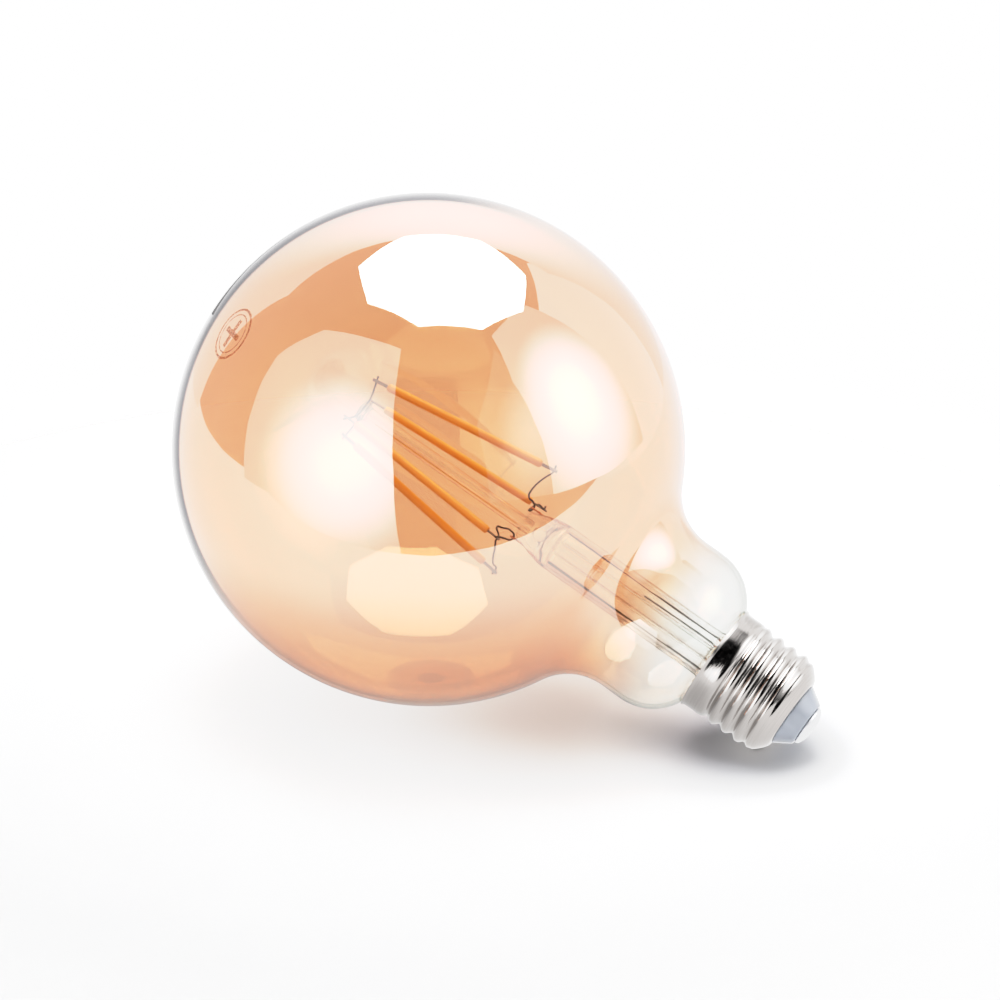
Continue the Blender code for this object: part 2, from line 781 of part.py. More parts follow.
def antenna_wire():
    path = [(1.6, BOARD_BACK + 0.5, 20.8), (1.7, 4.5, 23.4), (2.2, 4.0, 27.4), (2.6, 3.3, 32.0)]
    path += [(2.6, 3.3, 42.0), (2.6, 3.3, ANTENNA_TOP)]
    wire("antenna_wire", path, ANTENNA_RADIUS, grey_insulation())


def driver_liner():
    """A card tube that keeps the driver off the screw shell."""
    inner = LINER_RADIUS - LINER_WALL
    profile = [
        (inner, LINER_BOTTOM),
        (LINER_RADIUS, LINER_BOTTOM),
        (LINER_RADIUS, LINER_TOP),
        (inner, LINER_TOP),
    ]
    turned("driver_liner", profile, liner_card(), 28, closed=True)


def glass_mount():
    """Everything sealed to the stem, leaning together on one empty."""
    stem_flare()
    exhaust_tube()
    support_rod()
    bridge_wires()
    for number in FILAMENT_AZIMUTHS:
        filament_body(number)
        filament_tabs(number)
    cross_wires()
    for letter, side in (("a", 1), ("b", -1)):
        leads(letter, side)
    antenna_wire()
    pieces = list(bpy.data.objects)
    pivot = Vector((0.0, 0.0, RIM_HEIGHT)) * MILLIMETRE
    lean = add_object("mount_lean", None, None)
    lean.location = pivot
    lean.rotation_euler = (0.0, -MOUNT_LEAN, 0.0)
    for piece in pieces:
        piece.parent = lean
        piece.matrix_parent_inverse = Matrix.Translation(-pivot)


def outer_shell():
    globe_envelope()
    screw_shell()
    base_insulator()
    centre_contact()
    basing_cement()


def driver():
    driver_board()
    board_packages()
    bulk_capacitor()
    power_inductor()
    fusible_resistor()
    resistor_sleeve()
    cap_wires()
    driver_liner()


def main():
    clear_scene()
    glass_mount()
    outer_shell()
    driver()


main()
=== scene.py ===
"""Looks of an amber filament globe lamp lying on its side on a white table.

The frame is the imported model's: metres, the lamp's axis is +Z, and the tip of its contact is the
origin. Lengths that describe the lamp are given in millimetres and scaled when a mesh is finished.
The studio is given in metres, in its own level axes.
"""

import math

import bmesh
import bpy
from mathutils import Matrix, Vector, noise


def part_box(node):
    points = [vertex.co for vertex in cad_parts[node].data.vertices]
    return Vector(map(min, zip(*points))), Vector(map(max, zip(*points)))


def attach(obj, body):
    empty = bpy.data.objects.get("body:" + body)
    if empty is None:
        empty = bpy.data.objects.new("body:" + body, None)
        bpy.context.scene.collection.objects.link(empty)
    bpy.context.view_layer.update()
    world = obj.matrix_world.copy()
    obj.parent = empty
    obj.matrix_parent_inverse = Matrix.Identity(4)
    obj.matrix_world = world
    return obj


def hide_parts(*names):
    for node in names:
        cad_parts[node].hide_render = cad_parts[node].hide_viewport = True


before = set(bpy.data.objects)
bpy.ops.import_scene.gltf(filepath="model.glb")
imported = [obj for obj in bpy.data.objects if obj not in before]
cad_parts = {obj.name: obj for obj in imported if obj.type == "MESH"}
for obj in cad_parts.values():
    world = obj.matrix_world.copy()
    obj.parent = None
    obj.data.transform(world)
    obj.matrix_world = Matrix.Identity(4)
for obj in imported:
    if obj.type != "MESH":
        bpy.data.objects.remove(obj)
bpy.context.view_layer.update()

MM = 0.001

# Sizes read from the frame, in millimetres.
globe_low, globe_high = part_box("globe_envelope")
shell_low, shell_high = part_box("screw_shell")
GLOBE_RADIUS = (globe_high.x - globe_low.x) / 2 / MM
GLOBE_CENTRE = globe_high.z / MM - GLOBE_RADIUS
NECK_BOTTOM = globe_low.z / MM
RIM_HEIGHT = shell_high.z / MM
SHELL_BOTTOM = shell_low.z / MM
LIP_RADIUS = (shell_high.x - shell_low.x) / 2 / MM

# Glass outline, as in the CAD.
GLASS_WALL = 0.9
WAIST_RADIUS = 21.3
THROAT_FILLET = 15.0
SHOULDER_RADIUS = 13.8
WAIST_LENGTH = 5.0
NECK_END_RADIUS = 12.5
FILM_CLEAR_HEIGHT = 36.0
FILM_FULL_HEIGHT = 60.0

# Screw cap, as in the CAD.
PITCH = 25.4 / 7
CREST_RADIUS = 13.2
THREAD_DEPTH = 1.05
CREST_HEIGHT = 11.6
THREAD_BOTTOM = 9.5
THREAD_TOP = 24.2
SHELL_END_RADIUS = 12.45
COLLAR_RADIUS = 13.3
SHELL_WALL = 0.3
SHELL_MOUTH_RADIUS = 8.3
CREST_BREADTH = 1.3

# Glass mount, as in the CAD.
MOUNT_LEAN = math.radians(0.9)
STEM_RADIUS = 6.1
STEM_WALL = 1.0
STEM_CAVITY_TOP = 76.5
PRESS_TOP = 86.0
WINDOW_HEIGHT = 81.0
WINDOW_RADIUS = 1.7
EXHAUST_RADIUS = 2.0
EXHAUST_BORE = 1.3
EXHAUST_TIP = 14.0
ROD_RADIUS = 1.8
ROD_BOTTOM = 83.6
BUTTON_RADIUS = 2.7
BUTTON_BOTTOM = 133.6
BUTTON_TOP = 135.4

# Filaments, as in the CAD.
FILAMENT_AZIMUTHS = {"1": -25.0, "2": 68.0, "3": -115.0, "4": 155.0}
TOP_WELD = (8.5, 135.4)
BOTTOM_WELDS = {"1": (16.2, 86.4), "2": (15.2, 85.9), "3": (15.4, 87.3), "4": (15.1, 86.1)}
PHOSPHOR_LENGTH = 43.0
PHOSPHOR_RADIUS = 1.05

# Share of light that the film mirrors straight on, from outside and from inside the glass.
FILM_MIRROR = 0.26
FILM_MIRROR_INSIDE = 0.14

# Place of the etched mark on the dome, in degrees from the pole and about the axis.
MARK_TILT = 41.0
MARK_AZIMUTH = -97.0

# Steps round a turned piece, and levels of the thread.
ROUND = 160
THREAD_LEVELS = 132

# The table. The lamp lies on its globe and on its thread, so its axis dips to the cap.
REST_AZIMUTH = math.radians(-31.7)
REST_TILT = math.radians(28.6)
UP = Vector(
    (
        math.cos(REST_TILT) * math.cos(REST_AZIMUTH),
        math.cos(REST_TILT) * math.sin(REST_AZIMUTH),
        math.sin(REST_TILT),
    )
)

# The camera looks down by CAMERA_DROP. The globe's centre is off its aim, to the right and up.
CAMERA_DISTANCE = 0.9
CAMERA_DROP = math.radians(8.8)
CAMERA_LENS = 132.7
SENSOR_WIDTH = 36.0
GLOBE_FROM_AIM = (-0.01734, 0.01221)

# Brightness of the background, which shows as white, and of the room as reflections and dull
# surfaces get it.
WHITE = 1.7
ROOM = 0.4
ROOM_FILL = 0.35

# Brightness that the display shows for a brightness in the scene, up to WHITE, which shows as 1.
TONES = ((0.3, 0.3), (0.6, 0.59), (0.9, 0.79), (1.2, 0.875), (1.5, 0.93), (1.63, 0.98))

# The upright cards of the studio: degrees from the camera round to the right, and metres away.
LEFT_CARD = (-50.0, 0.5)
RIGHT_CARD = (80.0, 0.5)
FLAP_CARD = (80.0, 0.52)
WALL_CARD = (100.0, 0.56)
BACK_CARD = (180.0, 0.5)

PLAIN_WHITE = (1.0, 1.0, 1.0)


def polar(radius, azimuth, height):
    """A place by its distance from the axis, its azimuth in degrees and its height."""
    angle = math.radians(azimuth)
    return Vector((radius * math.cos(angle), radius * math.sin(angle), height))


def mount_lean():
    """The small turn of the whole glass mount about a point level with the cap's rim."""
    pivot = Vector((0.0, 0.0, RIM_HEIGHT)) * MM
    turn = Matrix.Rotation(-MOUNT_LEAN, 4, "Y")
    return Matrix.Translation(pivot) @ turn @ Matrix.Translation(-pivot)


# ---------------------------------------------------------------- meshes


def add_mesh(name, solid, materials, crease=50.0, placed=None):
    """Scales a bmesh made in millimetres, smooths it and adds it as a piece."""
    bmesh.ops.remove_doubles(solid, verts=solid.verts, dist=0.0005)
    bmesh.ops.recalc_face_normals(solid, faces=solid.faces)
    if solid.calc_volume(signed=True) < 0:
        bmesh.ops.reverse_faces(solid, faces=solid.faces)
    bmesh.ops.scale(solid, vec=(MM, MM, MM), verts=solid.verts)
    mesh = bpy.data.meshes.new(name)
    solid.to_mesh(mesh)
    solid.free()
    if placed is not None:
        mesh.transform(placed)
    mesh.shade_smooth()
    mesh.set_sharp_from_angle(angle=math.radians(crease))
    for material in materials:
        mesh.materials.append(material)
    piece = bpy.data.objects.new(name, mesh)
    bpy.context.scene.collection.objects.link(piece)
    return piece


def turned(profile, segments, closed=False):
    """A profile of (radius, height) spun once about Z."""
    solid = bmesh.new()
    corners = [solid.verts.new((radius, 0.0, height)) for radius, height in profile]
    edges = [solid.edges.new(pair) for pair in zip(corners, corners[1:])]
    if closed:
        edges.append(solid.edges.new((corners[-1], corners[0])))
    bmesh.ops.spin(
        solid,
        geom=corners + edges,
        axis=(0.0, 0.0, 1.0),
        cent=(0.0, 0.0, 0.0),
        angle=math.tau,
        steps=segments,
        use_merge=True,
    )
    return solid


def skinned(rings):
    """Equal rings joined in order, the last one back to the first."""
    solid = bmesh.new()
    loops = [[solid.verts.new(point) for point in ring] for ring in rings]
    for lower, upper in zip(loops, loops[1:] + loops[:1]):
        for step in range(len(lower)):
            before = step - 1
            solid.faces.new((lower[before], lower[step], upper[step], upper[before]))
    return solid


def smoothed(points, steps):
    """A Catmull-Rom curve through points of any dimension, steps to each span."""
    points = [Vector(point) for point in points]
    ends = [2 * points[0] - points[1]] + points + [2 * points[-1] - points[-2]]
    curve = []
    for a, b, c, d in zip(ends, ends[1:], ends[2:], ends[3:]):
        for step in range(steps):
            t = step / steps
            square = (2 * a - 5 * b + 4 * c - d) * t**2
            cube = (3 * b - a - 3 * c + d) * t**3
            curve.append(0.5 * (2 * b + (c - a) * t + square + cube))
    curve.append(points[-1])
    return curve


def finish(piece, slot, *nodes):
    """The piece rides on the one body and stands for its CAD nodes."""
    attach(piece, "root")
    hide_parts(*nodes)
    return piece


# ---------------------------------------------------------------- node helpers


class Nodes:
    """A short way to write a material's node tree."""

    def __init__(self, name):
        self.material = bpy.data.materials.new(name)
        self.material.use_nodes = True
        self.tree = self.material.node_tree
        self.tree.nodes.clear()
        self.output = self.tree.nodes.new("ShaderNodeOutputMaterial")

    def add(self, kind, **settings):
        node = self.tree.nodes.new(kind)
        for name, value in settings.items():
            setattr(node, name, value)
        return node

    def feed(self, socket, value):
        """Links a socket to a socket, or sets its value."""
        if isinstance(value, bpy.types.NodeSocket):
            self.tree.links.new(value, socket)
        elif isinstance(value, tuple) and len(value) == 3 and socket.type == "RGBA":
            socket.default_value = (*value, 1.0)
        else:
            socket.default_value = value

    def math(self, operation, a, b=0.0, clamp=False):
        node = self.add("ShaderNodeMath", operation=operation, use_clamp=clamp)
        self.feed(node.inputs[0], a)
        self.feed(node.inputs[1], b)
        return node.outputs[0]

    def vector(self, operation, a, b=(0.0, 0.0, 0.0)):
        node = self.add("ShaderNodeVectorMath", operation=operation)
        self.feed(node.inputs[0], a)
        self.feed(node.inputs[1], b)
        return node.outputs["Value" if operation in ("LENGTH", "DISTANCE", "DOT_PRODUCT") else "Vector"]

    def position(self):
        return self.add("ShaderNodeTexCoord").outputs["Object"]

    def height(self):
        split = self.add("ShaderNodeSeparateXYZ")
        self.feed(split.inputs[0], self.position())
        return split.outputs["Z"]

    def ramp(self, value, low, high, start=0.0, end=1.0, smooth=True):
        node = self.add("ShaderNodeMapRange")
        node.interpolation_type = "SMOOTHSTEP" if smooth else "LINEAR"
        self.feed(node.inputs["Value"], value)
        self.feed(node.inputs["From Min"], low)
        self.feed(node.inputs["From Max"], high)
        self.feed(node.inputs["To Min"], start)
        self.feed(node.inputs["To Max"], end)
        return node.outputs["Result"]

    def noise(self, scale, detail=3.0, stretch=(1.0, 1.0, 1.0)):
        """Noise in the piece's own space; scale is in cells to the metre."""
        mapping = self.add("ShaderNodeMapping")
        self.feed(mapping.inputs["Vector"], self.position())
        self.feed(mapping.inputs["Scale"], stretch)
        node = self.add("ShaderNodeTexNoise")
        self.feed(node.inputs["Vector"], mapping.outputs[0])
        self.feed(node.inputs["Scale"], scale)
        self.feed(node.inputs["Detail"], detail)
        return node.outputs["Fac"]

    def mix(self, factor, a, b):
        node = self.add("ShaderNodeMix", data_type="RGBA")
        self.feed(node.inputs["Factor"], factor)
        self.feed(node.inputs[6], a)
        self.feed(node.inputs[7], b)
        return node.outputs[2]

    def multiply(self, a, b):
        node = self.add("ShaderNodeMix", data_type="RGBA", blend_type="MULTIPLY")
        self.feed(node.inputs["Factor"], 1.0)
        self.feed(node.inputs[6], a)
        self.feed(node.inputs[7], b)
        return node.outputs[2]

    def tinted(self, colour, cover, tint):
        """The colour times the tint where cover is 1, and unchanged where it is 0."""
        return self.multiply(colour, self.mix(cover, PLAIN_WHITE, tint))

    def facing(self):
        """0 where the surface faces the ray, 1 at its edge."""
        node = self.add("ShaderNodeLayerWeight")
        node.inputs["Blend"].default_value = 0.5
        return node.outputs["Facing"]

    def bump(self, height, strength, distance):
        node = self.add("ShaderNodeBump")
        self.feed(node.inputs["Height"], height)
        node.inputs["Strength"].default_value = strength
        node.inputs["Distance"].default_value = distance
        return node.outputs["Normal"]

    def principled(self, colour, roughness, metallic=0.0, normal=None, **sockets):
        node = self.add("ShaderNodeBsdfPrincipled")
        self.feed(node.inputs["Base Color"], colour)
        self.feed(node.inputs["Roughness"], roughness)
        self.feed(node.inputs["Metallic"], metallic)
        if normal is not None:
            self.feed(node.inputs["Normal"], normal)
        for name, value in sockets.items():
            self.feed(node.inputs[name.replace("_", " ")], value)
        return node.outputs["BSDF"]

    def transparent(self, colour):
        node = self.add("ShaderNodeBsdfTransparent")
        self.feed(node.inputs["Color"], colour)
        return node.outputs[0]

    def mix_shader(self, factor, a, b):
        node = self.add("ShaderNodeMixShader")
        self.feed(node.inputs[0], factor)
        self.feed(node.inputs[1], a)
        self.feed(node.inputs[2], b)
        return node.outputs[0]

    def done(self, surface):
        self.tree.links.new(surface, self.output.inputs["Surface"])
        return self.material


# ---------------------------------------------------------------- materials


def mirror_share(nodes, straight):
    """Share of light a glass face reflects: straight on, rising to all of it at a grazing angle."""
    grazing = nodes.math("POWER", nodes.facing(), 5.0)
    rest = nodes.math("SUBTRACT", 1.0, straight)
    return nodes.math("ADD", straight, nodes.math("MULTIPLY", rest, grazing), clamp=True)


def film_cover(nodes):
    """1 on the coated globe, fading to 0 down the neck."""
    wander = nodes.math("MULTIPLY", nodes.noise(90.0), 6.0 * MM)
    height = nodes.math("ADD", nodes.height(), nodes.math("SUBTRACT", wander, 3.0 * MM))
    return nodes.ramp(height, FILM_CLEAR_HEIGHT * MM, FILM_FULL_HEIGHT * MM)


def stamp_cover(nodes):
    """A generic etched mark on the dome: two rings and a plain cross."""
    tilt = math.radians(MARK_TILT)
    height = GLOBE_CENTRE + GLOBE_RADIUS * math.cos(tilt)
    centre = polar(GLOBE_RADIUS * math.sin(tilt), MARK_AZIMUTH, height)
    out = (centre - Vector((0.0, 0.0, GLOBE_CENTRE))).normalized()
    side = Vector((0.0, 0.0, 1.0)).cross(out).normalized()
    over = out.cross(side)
    offset = nodes.vector("SUBTRACT", nodes.position(), tuple(centre * MM))
    distance = nodes.vector("LENGTH", offset)
    cover = 0.0
    for ring, width in ((6.4, 0.6), (5.0, 0.3)):
        gap = nodes.math("ABSOLUTE", nodes.math("SUBTRACT", distance, ring * MM))
        cover = nodes.math("MAXIMUM", cover, nodes.ramp(gap, width * 0.6 * MM, width * 0.4 * MM))
    inside = nodes.ramp(distance, 3.9 * MM, 3.6 * MM)
    for direction in (side, over):
        across = nodes.math("ABSOLUTE", nodes.vector("DOT_PRODUCT", offset, tuple(direction)))
        bar = nodes.math("MULTIPLY", nodes.ramp(across, 0.75 * MM, 0.6 * MM), inside)
        cover = nodes.math("MAXIMUM", cover, bar)
    patchy = nodes.ramp(nodes.noise(2500.0), 0.35, 0.5)
    return nodes.math("MULTIPLY", cover, patchy)


def amber_film():
    """The vapour coated outer face: part mirror, part amber filter, clear at the neck.

    Seen from inside the glass it mirrors less, and lets the same share of light through.
    It gets redder where the eye looks through it at a slant. Round the upper dome, where the eye
    looks along the wall, a grey-blue edge is painted into its see-through colour and its mirror is
    painted dimmer there: painted shade for the dark edge that glass shows. The uncoated glass at
    the neck gets a painted grey-green edge the same way.
    """
    nodes = Nodes("amber_film")
    cover = film_cover(nodes)
    facing = nodes.facing()
    inside = nodes.add("ShaderNodeNewGeometry").outputs["Backfacing"]
    streaks = nodes.noise(60.0, stretch=(1.0, 1.0, 0.25))
    amber = nodes.mix(streaks, (0.99, 0.62, 0.415), (1.0, 0.65, 0.445))
    slant = nodes.ramp(facing, 0.12, 0.50)
    amber = nodes.tinted(amber, slant, (1.0, 0.925, 0.87))
    tint = nodes.mix(cover, (0.955, 0.965, 0.945), amber)
    # Painted shade: a grey-blue edge painted on the upper dome where the eye looks along the wall.
    dome = nodes.ramp(nodes.height(), 122.0 * MM, 148.0 * MM)
    edge = nodes.math("MULTIPLY", nodes.ramp(facing, 0.745, 0.785), dome)
    tint = nodes.tinted(tint, edge, (0.30, 0.46, 0.70))
    # Painted shade: a grey-green edge painted on the neck glass where the eye looks along it.
    neck = nodes.ramp(nodes.height(), 50.0 * MM, 40.0 * MM)
    painted_neck_edge = nodes.math("MULTIPLY", nodes.ramp(facing, 0.60, 1.0), neck)
    tint = nodes.tinted(tint, painted_neck_edge, (0.50, 0.54, 0.50))
    mark = stamp_cover(nodes)
    tint = nodes.tinted(tint, mark, (0.50, 0.42, 0.36))
    balance = (1.0 - FILM_MIRROR) / (1.0 - FILM_MIRROR_INSIDE)
    tint = nodes.tinted(tint, inside, (balance, balance, balance))
    coated = nodes.ramp(inside, 0.0, 1.0, FILM_MIRROR, FILM_MIRROR_INSIDE, smooth=False)
    straight = nodes.ramp(cover, 0.0, 1.0, 0.05, coated, smooth=False)
    # Painted shade: the mirror colour is painted darker along the same dome edge.
    grey = nodes.mix(nodes.ramp(facing, 0.79, 0.97), (0.22, 0.22, 0.25), (0.74, 0.74, 0.76))
    sheen = nodes.mix(edge, (1.0, 0.985, 0.965), grey)
    sheen = nodes.mix(mark, sheen, (0.30, 0.25, 0.22))
    swell = nodes.bump(nodes.noise(45.0, 2.0), 0.05, 0.002)
    gloss = nodes.principled(sheen, 0.015, 1.0, swell)
    return nodes.done(nodes.mix_shader(mirror_share(nodes, straight), nodes.transparent(tint), gloss))


def inner_face():
    """The uncoated inside of the globe."""
    nodes = Nodes("envelope_inside")
    swell = nodes.bump(nodes.noise(60.0, 2.0), 0.05, 0.002)
    gloss = nodes.principled(PLAIN_WHITE, 0.02, 1.0, swell)
    share = mirror_share(nodes, 0.035)
    return nodes.done(nodes.mix_shader(share, nodes.transparent((0.99, 0.99, 0.985)), gloss))


def clear_glass():
    """Flame worked glass with faint drawn lines, and painted shade, dark and a little green, along its
    edges.
    """
    nodes = Nodes("mount_glass")
    lines = nodes.noise(500.0, 2.0, (1.0, 1.0, 0.03))
    normal = nodes.bump(lines, 0.25, 0.0004)
    shade = nodes.mix(nodes.noise(80.0), (0.97, 0.98, 0.97), (0.99, 0.995, 0.99))
    # Painted shade: the glass colour is painted nearly black, a little green, where the eye looks along
    # it.
    shade = nodes.mix(nodes.ramp(nodes.facing(), 0.60, 0.92), shade, (0.10, 0.12, 0.10))
    return nodes.done(nodes.principled(shade, 0.02, 0.0, normal, Transmission_Weight=1.0, IOR=1.5))


def nickel():
    """Bright plated brass, rolled: fine lines run round the cap, with a few handling marks."""
    nodes = Nodes("bright_nickel")
    drawn = nodes.noise(120.0, 4.0, (1.0, 1.0, 40.0))
    marks = nodes.noise(900.0, 5.0)
    roughness = nodes.ramp(marks, 0.3, 0.75, 0.07, 0.16)
    colour = nodes.mix(drawn, (0.38, 0.36, 0.345), (0.47, 0.445, 0.43))
    normal = nodes.bump(drawn, 0.06, 0.0005)
    return nodes.done(nodes.principled(colour, roughness, 1.0, normal))


def contact_metal():
    """Tinned metal, dulled by handling."""
    nodes = Nodes("tinned_contact")
    marks = nodes.noise(1500.0, 5.0)
    colour = nodes.mix(marks, (0.62, 0.63, 0.66), (0.78, 0.78, 0.79))
    roughness = nodes.ramp(marks, 0.3, 0.7, 0.22, 0.38)
    return nodes.done(nodes.principled(colour, roughness, 1.0, nodes.bump(marks, 0.15, 0.0003)))


def plain(name, dark, light, rough, scale, metallic=0.0, bump=0.1, **sockets):
    """A material whose colour and roughness wander between two values over its surface."""
    nodes = Nodes(name)
    wander = nodes.noise(scale, 4.0)
    colour = nodes.mix(wander, dark, light)
    roughness = nodes.ramp(wander, 0.3, 0.7, rough[0], rough[1])
    normal = nodes.bump(wander, bump, 0.0003)
    return nodes.done(nodes.principled(colour, roughness, metallic, normal, **sockets))


def cement():
    """Tan basing cement, burnt darker in spots."""
    nodes = Nodes("basing_cement")
    grain = nodes.noise(1800.0, 5.0)
    burnt = nodes.ramp(nodes.noise(260.0, 2.0), 0.52, 0.66)
    colour = nodes.mix(grain, (0.36, 0.27, 0.18), (0.58, 0.47, 0.34))
    colour = nodes.mix(burnt, colour, (0.10, 0.07, 0.05))
    return nodes.done(nodes.principled(colour, 0.85, 0.0, nodes.bump(grain, 0.5, 0.0004)))


def phosphor():
    """Orange silicone with phosphor."""
    nodes = Nodes("orange_phosphor")
    specks = nodes.noise(2600.0, 4.0)
    colour = nodes.mix(specks, (0.84, 0.30, 0.035), (0.92, 0.37, 0.05))
    normal = nodes.bump(nodes.noise(700.0, 3.0), 0.12, 0.0004)
    return nodes.done(
        nodes.principled(
            colour,
            0.32,
            0.0,
            normal,
            Coat_Weight=0.5,
            Coat_Roughness=0.12,
            # Painted glow: a faint orange emission that brightens the silicone whatever light falls on
            # it.
            Emission_Color=(1.0, 0.36, 0.04),
            Emission_Strength=0.12,
        )
    )


# ---------------------------------------------------------------- pieces


def neck_profile(inset):
    """(radius, height) from the globe's pole down to the end of the neck, moved in by inset."""
    globe = GLOBE_RADIUS - inset
    fillet = THROAT_FILLET + inset
    shoulder = SHOULDER_RADIUS - inset
    ring_radius = WAIST_RADIUS + THROAT_FILLET
    throat_depth = math.sqrt((GLOBE_RADIUS + THROAT_FILLET) ** 2 - ring_radius**2)
    throat_height = GLOBE_CENTRE - throat_depth
    join = math.atan2(ring_radius, throat_depth)
    profile = []
    globe_steps = 64
    for step in range(globe_steps + 1):
        angle = (math.pi - join) * step / globe_steps
        profile.append((globe * math.sin(angle), GLOBE_CENTRE + globe * math.cos(angle)))
    fillet_steps = 14
    for step in range(1, fillet_steps + 1):
        angle = join + (math.pi / 2 - join) * step / fillet_steps
        radius = ring_radius - fillet * math.sin(angle)
        profile.append((radius, throat_height + fillet * math.cos(angle)))
    shoulder_height = throat_height - WAIST_LENGTH
    shoulder_centre = WAIST_RADIUS - SHOULDER_RADIUS
    shoulder_turn = math.acos((NECK_END_RADIUS - shoulder_centre + 0.3) / SHOULDER_RADIUS)
    shoulder_steps = 18
    for step in range(shoulder_steps + 1):
        angle = shoulder_turn * step / shoulder_steps
        radius = shoulder_centre + shoulder * math.cos(angle)
        profile.append((radius, shoulder_height - shoulder * math.sin(angle)))
    neck_radius = NECK_END_RADIUS - inset
    profile.append((neck_radius, profile[-1][1] - 0.5))
    profile.append((neck_radius, NECK_BOTTOM))
    return profile


def make_envelope():
    """Globe and neck in one shell of glass, with the film on its outer face."""
    outer = neck_profile(0.0)
    inner = neck_profile(GLASS_WALL)
    solid = turned(outer + inner[::-1], ROUND)
    centre = Vector((0.0, 0.0, GLOBE_CENTRE))
    bmesh.ops.recalc_face_normals(solid, faces=solid.faces)
    for face in solid.faces:
        point = face.calc_center_median()
        reach = (point - centre).length if point.z > GLOBE_CENTRE else Vector(point.xy).length
        wall = wall_radius(point.z) if point.z <= GLOBE_CENTRE else GLOBE_RADIUS
        face.material_index = 1 if reach < wall - GLASS_WALL / 2 else 0
    piece = add_mesh("glass_envelope", solid, [amber_film(), inner_face()], crease=80.0)
    piece.visible_shadow = False
    piece.visible_diffuse = False
    return finish(piece, "amber_glass", "globe_envelope")


def wall_radius(height):
    """Outer radius of the glass at a height, read off its outline."""
    outline = neck_profile(0.0)
    for (upper_radius, upper), (lower_radius, lower) in zip(outline, outline[1:]):
        if lower <= height <= upper and upper > lower:
            share = (height - lower) / (upper - lower)
            return lower_radius + share * (upper_radius - lower_radius)
    return NECK_END_RADIUS


def thread_radius(height, angle):
    """Rounded knuckle thread that runs out towards the collar and above the mouth of the cap."""
    turn = (height - CREST_HEIGHT) / PITCH - angle / math.tau
    depth = THREAD_DEPTH * min(1.0, (THREAD_TOP - height) / (0.4 * PITCH))
    wave = (0.5 - 0.5 * math.cos(math.tau * turn)) ** CREST_BREADTH
    radius = CREST_RADIUS - depth * wave
    blend = min(1.0, (height - THREAD_BOTTOM) / (0.5 * PITCH))
    return SHELL_END_RADIUS + blend * (radius - SHELL_END_RADIUS)


def shell_surface(inset):
    """Rings of the cap from its mouth up to its rim, moved in by inset."""
    mouth = smoothed(
        [
            (SHELL_MOUTH_RADIUS, SHELL_BOTTOM + inset),
            (9.3 - 0.4 * inset, SHELL_BOTTOM + 0.2 + 0.9 * inset),
            (10.2 - 0.7 * inset, SHELL_BOTTOM + 0.75 + 0.7 * inset),
            (11.1 - 0.8 * inset, SHELL_BOTTOM + 1.5 + 0.5 * inset),
            (12.0 - 0.9 * inset, SHELL_BOTTOM + 2.4 + 0.3 * inset),
            (SHELL_END_RADIUS - inset, SHELL_BOTTOM + 3.0),
        ],
        4,
    )
    collar = smoothed(
        [
            (COLLAR_RADIUS - inset, THREAD_TOP + 0.6),
            (COLLAR_RADIUS - 0.05 - inset, THREAD_TOP + 2.4),
            (COLLAR_RADIUS - inset, RIM_HEIGHT - 0.9),
            (COLLAR_RADIUS + 0.15 - inset, RIM_HEIGHT - 0.5),
            (LIP_RADIUS - inset, RIM_HEIGHT),
        ],
        4,
    )
    angles = [math.tau * step / ROUND for step in range(ROUND)]
    rings = [[(r * math.cos(a), r * math.sin(a), z) for a in angles] for r, z in mouth]
    for level in range(THREAD_LEVELS):
        height = THREAD_BOTTOM + (THREAD_TOP - THREAD_BOTTOM) * level / (THREAD_LEVELS - 1)
        ring = []
        for angle in angles:
            radius = thread_radius(height, angle) - inset
            ring.append((radius * math.cos(angle), radius * math.sin(angle), height))
        rings.append(ring)
    rings += [[(r * math.cos(a), r * math.sin(a), z) for a in angles] for r, z in collar]
    return rings


def make_shell():
    """The screw shell: mouth, rolled thread, collar and lip, all of one thickness."""
    solid = skinned(shell_surface(0.0) + shell_surface(SHELL_WALL)[::-1])
    piece = add_mesh("cap_shell", solid, [nickel()], crease=60.0)
    return finish(piece, "nickel_shell", "screw_shell")


def make_insulator():
    """The moulded ring between shell and contact, with its lap over the mouth of the shell."""
    low, high = (corner.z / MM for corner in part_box("base_insulator"))
    slope = smoothed([(5.4, low), (5.9, 2.45), (8.0, 5.7), (8.15, 6.3), (8.15, 6.7)], 6)
    lap = smoothed([(8.15, 6.7), (8.8, 7.0), (9.7, 7.6), (10.6, 8.3), (11.1, 8.9)], 3)
    profile = [(0.9, low)] + [tuple(p) for p in slope] + [tuple(p) for p in lap[1:]]
    profile += [(11.1, high), (0.9, high)]
    grey, pale = (0.44, 0.48, 0.56), (0.50, 0.54, 0.61)
    material = plain("vitrite", grey, pale, (0.12, 0.22), 220.0, bump=0.06, Coat_Weight=0.4)
    piece = add_mesh("cap_insulator", turned(profile, ROUND, closed=True), [material])
    return finish(piece, "white_insulator", "base_insulator")


def make_contact():
    """The domed contact, flat for a little way round its tip."""
    low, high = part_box("centre_contact")
    top = high.z / MM
    radius = (high.x - low.x) / 2 / MM
    steps = 5
    outline = [
        (0.0, 0.0),
        (1.6, 0.0),
        (2.4, 0.12),
        (3.2, 0.33),
        (4.1, 0.7),
        (4.75, 1.15),
        (radius, top - 0.25),
    ]
    dome = [tuple(point) for point in smoothed(outline, steps)]
    profile = [dome[0]] + dome[steps:] + [(radius - 0.2, top), (0.0, top)]
    piece = add_mesh("tip_contact", turned(profile, 96), [contact_metal()])
    return finish(piece, "contact_metal", "centre_contact")


